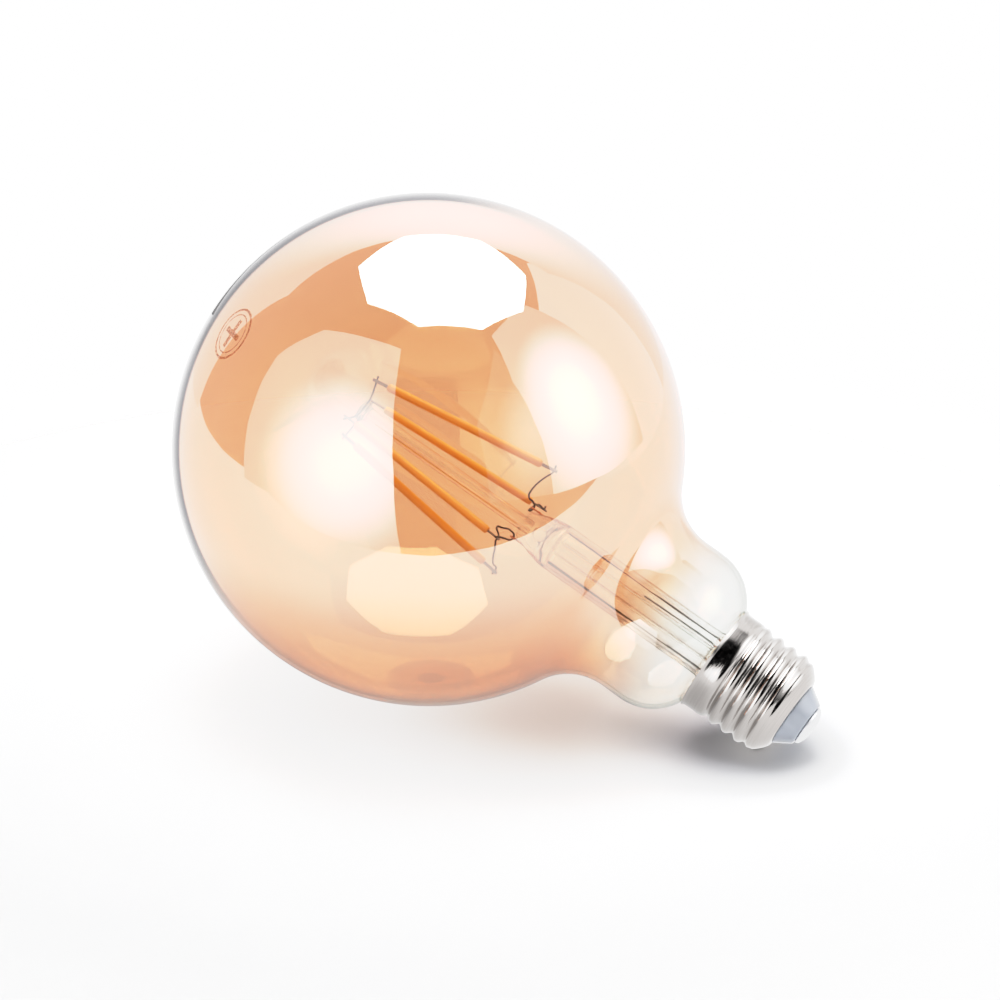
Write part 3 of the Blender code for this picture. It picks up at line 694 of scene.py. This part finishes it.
def make_cement():
    """A bead of cement that stands uneven round the glass at the rim of the cap."""
    inner = NECK_END_RADIUS + 0.1
    outer = COLLAR_RADIUS - SHELL_WALL - 0.15
    bottom = NECK_BOTTOM + 1.2
    rings = []
    for radius, height, rough in (
        (inner, bottom, 0.0),
        (outer, bottom, 0.0),
        (outer, RIM_HEIGHT - 1.0, 0.0),
        (outer + 0.3, RIM_HEIGHT - 0.25, 0.1),
        (outer + 0.25, RIM_HEIGHT, 0.35),
        (outer - 0.1, RIM_HEIGHT + 0.1, 0.5),
        (inner + 0.1, RIM_HEIGHT - 0.3, 0.6),
    ):
        ring = []
        for step in range(ROUND):
            angle = math.tau * step / ROUND
            spot = Vector((math.cos(angle), math.sin(angle), 0.1 * height)) * 6.0
            lift = rough * noise.noise(spot) + 0.5 * rough * noise.noise(3.1 * spot)
            ring.append((radius * math.cos(angle), radius * math.sin(angle), height + lift))
        rings.append(ring)
    piece = add_mesh("cement_bead", skinned(rings), [cement()], crease=70.0)
    return finish(piece, "tan_cement", "basing_cement")


def stem_ring(half_width, half_depth, power, height, segments):
    """One cross-section of the stem: a circle at power 2, squarer above that."""
    ring = []
    for step in range(segments):
        angle = math.tau * step / segments
        c, s = math.cos(angle), math.sin(angle)
        x = half_width * math.copysign(abs(c) ** (2 / power), c)
        y = half_depth * math.copysign(abs(s) ** (2 / power), s)
        ring.append((x, y, height))
    return ring


def make_stem():
    """The stem: a flared tube, closed and flattened at its top round the wires, with a blown hole."""
    inner = STEM_RADIUS - STEM_WALL
    inside = [
        (inner - 4.0, STEM_CAVITY_TOP + 0.3),
        (inner - 1.0, STEM_CAVITY_TOP - 0.3),
        (inner - 0.2, STEM_CAVITY_TOP - 1.2),
        (inner, STEM_CAVITY_TOP - 2.4),
        (inner, 60.0),
        (inner, 45.0),
        (inner, 32.0),
        (inner + 0.5, 29.6),
        (inner + 1.8, 27.4),
        (inner + 3.6, 25.6),
        (10.4, NECK_BOTTOM),
    ]
    outside = [
        (11.3, 11.3, 2.0, NECK_BOTTOM),
        (9.6, 9.6, 2.0, 25.9),
        (7.8, 7.8, 2.0, 27.9),
        (6.5, 6.5, 2.0, 30.2),
        (STEM_RADIUS, STEM_RADIUS, 2.0, 32.4),
        (STEM_RADIUS, STEM_RADIUS, 2.0, 45.0),
        (STEM_RADIUS, STEM_RADIUS, 2.0, 60.0),
        (STEM_RADIUS, STEM_RADIUS, 2.0, 74.5),
        (6.0, 5.6, 2.0, 77.0),
        (5.7, 4.0, 2.3, 79.0),
        (5.1, 2.8, 2.8, 81.2),
        (4.3, 2.3, 3.2, 83.2),
        (3.7, 2.2, 3.5, 85.0),
        (3.3, 2.0, 3.3, PRESS_TOP - 0.1),
        (2.6, 1.5, 3.0, PRESS_TOP),
    ]
    segments = 64
    rings = [stem_ring(0.2, 0.2, 2.0, STEM_CAVITY_TOP + 0.4, segments)]
    rings += [stem_ring(r, r, 2.0, z, segments) for r, z in smoothed(inside, 4)]
    rings += [stem_ring(*shape, segments) for shape in smoothed(outside, 4)]
    rings.append(stem_ring(0.2, 0.2, 2.0, PRESS_TOP, segments))
    solid = bmesh.new()
    loops = [[solid.verts.new(point) for point in ring] for ring in rings]
    solid.faces.new(loops[0])
    solid.faces.new(loops[-1])
    for lower, upper in zip(loops, loops[1:]):
        for step in range(segments):
            before = step - 1
            solid.faces.new((lower[before], lower[step], upper[step], upper[before]))
    piece = add_mesh("stem_glass", solid, [clear_glass()], crease=60.0, placed=mount_lean())
    dimple = blown_hole()
    boolean = piece.modifiers.new("exhaust_hole", "BOOLEAN")
    boolean.operation = "DIFFERENCE"
    boolean.solver = "EXACT"
    boolean.object = dimple
    return finish(piece, "clear_glass", "stem_flare")


def blown_hole():
    """Cutter for the round hole that was blown through one face of the press."""
    depth = STEM_RADIUS
    side = [(0.0, 0.0), (1.2, 0.15), (WINDOW_RADIUS, 0.9), (WINDOW_RADIUS, 2.6), (2.3, depth)]
    profile = [tuple(point) for point in smoothed(side, 4)] + [(0.0, depth)]
    raised = Matrix.Translation((0.0, 0.0, WINDOW_HEIGHT * MM))
    place = raised @ Matrix.Rotation(math.radians(90.0), 4, "X")
    cutter = add_mesh("exhaust_hole_cutter", turned(profile, 48), [], placed=mount_lean() @ place)
    cutter.hide_render = True
    cutter.hide_viewport = True
    return cutter


def make_exhaust():
    """The exhaust tube, melted shut at its lower tip."""
    top = STEM_CAVITY_TOP - 0.4
    profile = [
        (0.0, EXHAUST_TIP + 2.2),
        (0.9, EXHAUST_TIP + 2.8),
        (EXHAUST_BORE, EXHAUST_TIP + 4.2),
        (EXHAUST_BORE, top),
        (EXHAUST_RADIUS, top),
        (EXHAUST_RADIUS, EXHAUST_TIP + 3.0),
        (1.6, EXHAUST_TIP + 1.2),
        (0.8, EXHAUST_TIP + 0.3),
        (0.0, EXHAUST_TIP),
    ]
    piece = add_mesh("exhaust_glass", turned(profile, 48), [clear_glass()], placed=mount_lean())
    return finish(piece, "clear_glass", "exhaust_tube")


def make_rod():
    """The support rod, with the button that holds the bridge wires."""
    shape = [
        (ROD_RADIUS, BUTTON_BOTTOM - 3.0),
        (ROD_RADIUS + 0.05, BUTTON_BOTTOM - 1.0),
        (ROD_RADIUS + 0.3, BUTTON_BOTTOM - 0.2),
        (BUTTON_RADIUS - 0.15, BUTTON_BOTTOM + 0.1),
        (BUTTON_RADIUS, BUTTON_BOTTOM + 0.7),
        (BUTTON_RADIUS, BUTTON_TOP - 0.6),
        (BUTTON_RADIUS - 0.4, BUTTON_TOP - 0.15),
        (BUTTON_RADIUS - 1.2, BUTTON_TOP),
    ]
    profile = [(0.0, ROD_BOTTOM), (ROD_RADIUS, ROD_BOTTOM)]
    profile += [tuple(point) for point in smoothed(shape, 4)] + [(0.0, BUTTON_TOP)]
    piece = add_mesh("rod_glass", turned(profile, 48), [clear_glass()], placed=mount_lean())
    return finish(piece, "clear_glass", "support_rod")


def make_filament(number, material):
    """A round ended bar of silicone, a little uneven along its length."""
    half = PHOSPHOR_LENGTH / 2
    taper = 0.7
    end = [(0.0, -half), (0.5, 0.02 - half), (0.85, 0.2 - half), (PHOSPHOR_RADIUS, taper - half)]
    rise = [tuple(point) for point in smoothed(end, 4)]
    straight = PHOSPHOR_LENGTH - 2 * taper
    steps = 40
    body = [(PHOSPHOR_RADIUS, -half + taper + straight * step / steps) for step in range(1, steps)]
    profile = rise + body + [(radius, -height) for radius, height in rise[::-1]]
    solid = turned(profile, 28)
    azimuth = FILAMENT_AZIMUTHS[number]
    for corner in solid.verts:
        spot = Vector((azimuth, 0.0, 0.45 * corner.co.z))
        swell = 1.0 + 0.025 * noise.noise(spot)
        corner.co.x *= swell
        corner.co.y *= swell * 0.97
    top = polar(TOP_WELD[0], azimuth, TOP_WELD[1])
    radius, height = BOTTOM_WELDS[number]
    span = polar(radius, azimuth, height) - top
    down = span.normalized()
    across = polar(1.0, azimuth + 90.0, 0.0)
    turn = Matrix((across.cross(down), across, down)).transposed().to_4x4()
    place = Matrix.Translation((top + span / 2) * MM) @ turn
    piece = add_mesh(f"filament_{number}_phosphor", solid, [material], placed=mount_lean() @ place)
    return finish(piece, "orange_phosphor", f"filament_{number}")


def dress_cad_nodes():
    """Carried-over CAD nodes get their finish; the name's start picks the material."""
    dark_wire = plain(
        "oxidised_nickel_wire", (0.018, 0.015, 0.013), (0.07, 0.06, 0.052), (0.35, 0.55), 900.0, 0.6
    )
    copper = plain("copper_clad_wire", (0.42, 0.17, 0.08), (0.72, 0.36, 0.20), (0.2, 0.4), 900.0, 0.9)
    tab = plain("filament_tab_steel", (0.10, 0.10, 0.11), (0.24, 0.24, 0.25), (0.28, 0.42), 1200.0, 0.9)
    laminate = plain("green_laminate", (0.01, 0.09, 0.035), (0.02, 0.16, 0.06), (0.3, 0.45), 700.0)
    tinned = plain("tinned_steel", (0.55, 0.56, 0.58), (0.72, 0.73, 0.75), (0.2, 0.35), 900.0, 1.0)
    resin = plain("black_resin", (0.012, 0.012, 0.013), (0.035, 0.035, 0.037), (0.4, 0.6), 1500.0)
    sleeve = plain("capacitor_sleeve", (0.02, 0.03, 0.07), (0.04, 0.05, 0.11), (0.25, 0.4), 500.0)
    ferrite = plain("grey_ferrite", (0.05, 0.05, 0.055), (0.11, 0.11, 0.12), (0.6, 0.8), 1500.0)
    ceramic = plain("tan_ceramic", (0.42, 0.26, 0.13), (0.55, 0.36, 0.2), (0.4, 0.55), 900.0)
    coating = plain("resistor_coating", (0.10, 0.24, 0.30), (0.15, 0.32, 0.38), (0.35, 0.5), 900.0)
    tube = plain("heat_shrink", (0.62, 0.61, 0.58), (0.76, 0.75, 0.72), (0.5, 0.65), 800.0)
    card = plain("liner_card", (0.52, 0.47, 0.38), (0.66, 0.6, 0.5), (0.75, 0.9), 1200.0)
    red = plain("red_insulation", (0.40, 0.015, 0.012), (0.55, 0.03, 0.02), (0.35, 0.5), 700.0)
    blue = plain("blue_insulation", (0.015, 0.06, 0.34), (0.03, 0.10, 0.48), (0.35, 0.5), 700.0)
    grey = plain("grey_insulation", (0.18, 0.18, 0.19), (0.28, 0.28, 0.29), (0.4, 0.55), 700.0)
    finishes = (
        ("inner_lead", copper),
        ("dumet_seal", copper),
        ("outer_lead", dark_wire),
        ("cross_wire", dark_wire),
        ("bridge_wire", dark_wire),
        ("filament_", tab),
        ("driver_board", laminate),
        ("radio_module", tinned),
        ("bridge_rectifier", resin),
        ("driver_chip", resin),
        ("ceramic_capacitor", ceramic),
        ("bulk_capacitor", sleeve),
        ("power_inductor", ferrite),
        ("fusible_resistor", coating),
        ("resistor_sleeve", tube),
        ("live_wire", red),
        ("fused_wire", red),
        ("neutral_wire", blue),
        ("antenna_wire", grey),
        ("driver_liner", card),
    )
    for name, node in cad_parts.items():
        for start, material in finishes:
            if name.startswith(start) and not node.hide_render:
                node.data.materials.clear()
                node.data.materials.append(material)
                node.data.shade_smooth()
                node.data.set_sharp_from_angle(angle=math.radians(35.0))
                break


# ---------------------------------------------------------------- table, light and camera


def studio():
    """Matrix of the studio: X to the camera's right, Y away from it, Z up, origin under the globe."""
    away = Vector((0.0, math.cos(CAMERA_DROP), math.sin(CAMERA_DROP)))
    right = away.cross(UP).normalized()
    level = UP.cross(right)
    turn = Matrix((right, level, UP)).transposed().to_4x4()
    return Matrix.Translation(Vector((0.0, 0.0, GLOBE_CENTRE)) * MM - UP * GLOBE_RADIUS * MM) @ turn


def stage_sheet(name, corners, material):
    """A flat sheet through its corners, given in the studio's own axes."""
    mesh = bpy.data.meshes.new(name)
    mesh.from_pydata([tuple(corner) for corner in corners], [], [tuple(range(len(corners)))])
    mesh.materials.append(material)
    sheet = bpy.data.objects.new(name, mesh)
    sheet.matrix_world = studio()
    bpy.context.scene.collection.objects.link(sheet)
    return sheet


def floor_material():
    """White card, seen only from above and fading out away from the lamp."""
    nodes = Nodes("white_table")
    reach = nodes.vector("LENGTH", nodes.position())
    fade = nodes.ramp(reach, 0.12, 0.25)
    back = nodes.add("ShaderNodeNewGeometry").outputs["Backfacing"]
    hidden = nodes.math("MAXIMUM", fade, back)
    colour = nodes.mix(nodes.noise(30.0), (0.86, 0.86, 0.865), (0.885, 0.885, 0.89))
    card = nodes.principled(colour, 0.6, 0.0, nodes.bump(nodes.noise(900.0), 0.05, 0.0003))
    return nodes.done(nodes.mix_shader(hidden, card, nodes.transparent(PLAIN_WHITE)))


def make_floor():
    """The table top. Mirrors see the glare sheet in make_table_glare instead."""
    size = 1.2
    corners = [(-size, -size, 0.0), (size, -size, 0.0), (size, size, 0.0), (-size, size, 0.0)]
    floor = stage_sheet("table_top", corners, floor_material())
    floor.visible_glossy = False


def make_shade():
    """Sheets just above the table that shade it under the lamp, as the film casts no shadow itself."""
    toward_cap = studio().inverted().to_3x3() @ Vector((0.0, 0.0, -1.0))
    for name, along, radius, tint in (
        ("globe", 0.010, 0.100, (0.74, 0.68, 0.65)),
        ("throat", 0.045, 0.062, (0.68, 0.58, 0.52)),
        ("cap", 0.092, 0.040, (0.42, 0.43, 0.48)),
    ):
        nodes = Nodes(f"{name}_shade")
        centre = (along * toward_cap.x, along * toward_cap.y, 0.005)
        distance = nodes.vector("DISTANCE", nodes.position(), centre)
        shade = nodes.mix(nodes.ramp(distance, 0.9 * radius, 0.1 * radius), PLAIN_WHITE, tint)
        material = nodes.done(nodes.transparent(shade))
        sheet = stage_sheet(f"{name}_shade", octagon(centre, radius, 0.0), material)
        sheet.visible_camera = False
        sheet.visible_glossy = False
        sheet.visible_transmission = False


def glow(name, strength, hot=None, spread=0.1, edge=0.0, core=0.0, flat=1.0):
    """Light emitting cloth, brightest at hot, the place of the lamp behind it in studio axes.

    It falls from strength within core to edge at spread, and slower up and down if flat is under 1.
    """
    nodes = Nodes(name)
    power = strength
    if hot is not None:
        offset = nodes.vector("SUBTRACT", nodes.position(), tuple(hot))
        distance = nodes.vector("LENGTH", nodes.vector("MULTIPLY", offset, (1.0, 1.0, flat)))
        power = nodes.ramp(distance, core, spread, strength, edge)
    emission = nodes.add("ShaderNodeEmission")
    nodes.feed(emission.inputs["Color"], PLAIN_WHITE)
    nodes.feed(emission.inputs["Strength"], power)
    return nodes.done(emission.outputs[0])


def lamp_sheet(name, corners, material, lights=True):
    """A sheet that reflections see and the camera doesn't. If lights is set it lights dull surfaces."""
    sheet = stage_sheet(name, corners, material)
    sheet.visible_camera = False
    sheet.visible_transmission = False
    sheet.visible_diffuse = lights
    sheet.visible_shadow = False
    return sheet


def octagon(centre, radius, turn):
    """Corners of a regular octagon that lies level."""
    corners = []
    for step in range(8):
        angle = math.tau * step / 8 + turn
        x = centre[0] + radius * math.cos(angle)
        y = centre[1] + radius * math.sin(angle)
        corners.append((x, y, centre[2]))
    return corners


def upright(azimuth, reach, outline):
    """Corners of a vertical card, from an outline in metres along it and up.

    Azimuth is in degrees from the camera's side round to the right, and reach in metres. Along is
    to the right as seen from the lamp.
    """
    angle = math.radians(azimuth)
    outward = Vector((math.sin(angle), -math.cos(angle), 0.0))
    side = Vector((-math.cos(angle), -math.sin(angle), 0.0))
    return [reach * outward + along * side + Vector((0.0, 0.0, up)) for along, up in outline]


def make_octabox():
    """The octagonal lamp above the globe."""
    lamp_sheet("octabox", octagon((0.038, 0.065, 0.38), 0.176, -0.31), glow("octabox", 9.0))


def make_left_softbox():
    """A big softbox to the left of the camera, with its lamp near the side toward the camera."""
    outline = [(-0.41, -0.25), (-0.25, 1.20), (0.38, 0.85), (0.48, 0.50), (0.31, 0.0), (0.0, -0.25)]
    hot = upright(*LEFT_CARD, [(-0.16, 0.21)])[0]
    cloth = glow("left_softbox", 4.8, hot, 0.44, 1.1, 0.02)
    lamp_sheet("left_softbox", upright(*LEFT_CARD, outline), cloth, lights=False)


def make_right_softbox():
    """A softbox to the right, the dim cloth that hangs beside it, and a pale wall behind both."""
    outline = [(0.25, 0.03), (0.28, 0.60), (0.16, 1.05), (-0.24, 0.90), (-0.24, 0.03)]
    hot = upright(*RIGHT_CARD, [(0.03, 0.30)])[0]
    cloth = glow("right_softbox", 5.2, hot, 0.36, 1.1, 0.02, 0.8)
    lamp_sheet("right_softbox", upright(*RIGHT_CARD, outline), cloth, lights=False)
    outline = [(0.70, 0.03), (0.75, 0.60), (0.25, 0.95), (0.20, 0.03)]
    hot = upright(*FLAP_CARD, [(0.24, 0.30)])[0]
    cloth = glow("flap", 1.3, hot, 0.40, 0.2)
    lamp_sheet("right_flap", upright(*FLAP_CARD, outline), cloth, lights=False)
    outline = [(-0.50, 0.0), (0.20, 0.0), (0.20, 0.70), (-0.50, 0.80)]
    lamp_sheet("right_wall", upright(*WALL_CARD, outline), glow("wall", 1.8), lights=False)


def make_backdrop():
    """The lit paper behind the lamp, as reflections see it."""
    outline = [(-0.71, 0.0), (-0.71, 0.70), (0.12, 0.75), (0.60, 0.60), (0.60, 0.0)]
    cloth = glow("backdrop", 3.2, (0.03, 0.5, 0.5), 0.5, 1.4, 0.05)
    lamp_sheet("backdrop", upright(*BACK_CARD, outline), cloth, lights=False)


def make_table_glare():
    """The table top as reflections see it: dim under the globe, with a dark wedge behind it."""
    near, far, level = -0.19, 1.0, 0.001
    outline = [(-1.0, near), (1.0, near), (1.0, far), (0.0, far), (0.0, 0.15), (-0.52, far), (-1.0, far)]
    cloth = glow("table_glare", 0.50, (0.0, 0.0, 0.0), 0.12, 1.65, 0.035)
    lamp_sheet("table_glare", [(x, y, level) for x, y in outline], cloth, lights=False)


def make_ceiling():
    """Soft light from above for dull surfaces. Reflections don't see it."""
    light = bpy.data.lights.new("ceiling", "AREA")
    light.shape = "SQUARE"
    light.size = 1.4
    light.energy = 9.5
    ceiling = bpy.data.objects.new("ceiling", light)
    ceiling.matrix_world = studio() @ Matrix.Translation((0.0, 0.1, 1.1))
    ceiling.visible_glossy = False
    bpy.context.scene.collection.objects.link(ceiling)


def make_world():
    """White to the eye, dim to reflections and darkest behind the camera, soft fill for the rest."""
    world = bpy.data.worlds.new("studio_room")
    bpy.context.scene.world = world
    world.use_nodes = True
    tree = world.node_tree
    background = tree.nodes["Background"]
    background.inputs["Color"].default_value = (1.0, 1.0, 1.0, 1.0)
    path = tree.nodes.new("ShaderNodeLightPath")
    seen = tree.nodes.new("ShaderNodeMath")
    seen.operation = "MAXIMUM"
    tree.links.new(path.outputs["Is Camera Ray"], seen.inputs[0])
    tree.links.new(path.outputs["Is Transmission Ray"], seen.inputs[1])
    direction = tree.nodes.new("ShaderNodeTexCoord")
    toward = tree.nodes.new("ShaderNodeVectorMath")
    toward.operation = "DOT_PRODUCT"
    toward.inputs[1].default_value = (0.0, -1.0, 0.0)
    tree.links.new(direction.outputs["Generated"], toward.inputs[0])
    room = tree.nodes.new("ShaderNodeMapRange")
    tree.links.new(toward.outputs["Value"], room.inputs["Value"])
    room.inputs["From Min"].default_value = -0.2
    room.inputs["From Max"].default_value = 0.7
    room.inputs["To Min"].default_value = ROOM
    room.inputs["To Max"].default_value = 0.0
    dim = tree.nodes.new("ShaderNodeMix")
    dim.inputs[2].default_value = ROOM_FILL
    tree.links.new(path.outputs["Is Glossy Ray"], dim.inputs["Factor"])
    tree.links.new(room.outputs["Result"], dim.inputs[3])
    strength = tree.nodes.new("ShaderNodeMix")
    strength.inputs[3].default_value = WHITE
    tree.links.new(seen.outputs[0], strength.inputs["Factor"])
    tree.links.new(dim.outputs[0], strength.inputs[2])
    tree.links.new(strength.outputs[0], background.inputs["Strength"])


def make_camera():
    """The camera, level with the table's horizon and turned down by CAMERA_DROP."""
    data = bpy.data.cameras.new("camera")
    data.lens = CAMERA_LENS
    data.sensor_width = SENSOR_WIDTH
    data.clip_start = 0.05
    camera = bpy.data.objects.new("camera", data)
    bpy.context.scene.collection.objects.link(camera)
    bpy.context.scene.camera = camera
    away = Vector((0.0, math.cos(CAMERA_DROP), math.sin(CAMERA_DROP)))
    right = away.cross(UP).normalized()
    over = right.cross(away)
    centre = Vector((0.0, 0.0, GLOBE_CENTRE)) * MM
    spot = centre - away * CAMERA_DISTANCE - right * GLOBE_FROM_AIM[0] - over * GLOBE_FROM_AIM[1]
    turn = Matrix((right, over, -away)).transposed().to_4x4()
    camera.matrix_world = Matrix.Translation(spot) @ turn


def expose():
    """Plain colour with a soft shoulder for the whites, and enough bounces for clear glass."""
    scene = bpy.context.scene
    scene.view_settings.view_transform = "Standard"
    scene.view_settings.use_curve_mapping = True
    mapping = scene.view_settings.curve_mapping
    mapping.use_clip = False
    mapping.white_level = (WHITE, WHITE, WHITE)
    curve = mapping.curves[3]
    for level, shown in TONES:
        curve.points.new(level / WHITE, shown)
    mapping.update()
    scene.cycles.transparent_max_bounces = 40
    scene.cycles.max_bounces = 16
    scene.cycles.transmission_bounces = 16
    scene.cycles.use_denoising = True


make_envelope()
make_shell()
make_insulator()
make_contact()
make_cement()
make_stem()
make_exhaust()
make_rod()
silicone = phosphor()
for name in FILAMENT_AZIMUTHS:
    make_filament(name, silicone)
dress_cad_nodes()
make_floor()
make_shade()
make_octabox()
make_left_softbox()
make_right_softbox()
make_backdrop()
make_table_glare()
make_ceiling()
make_world()
make_camera()
expose()
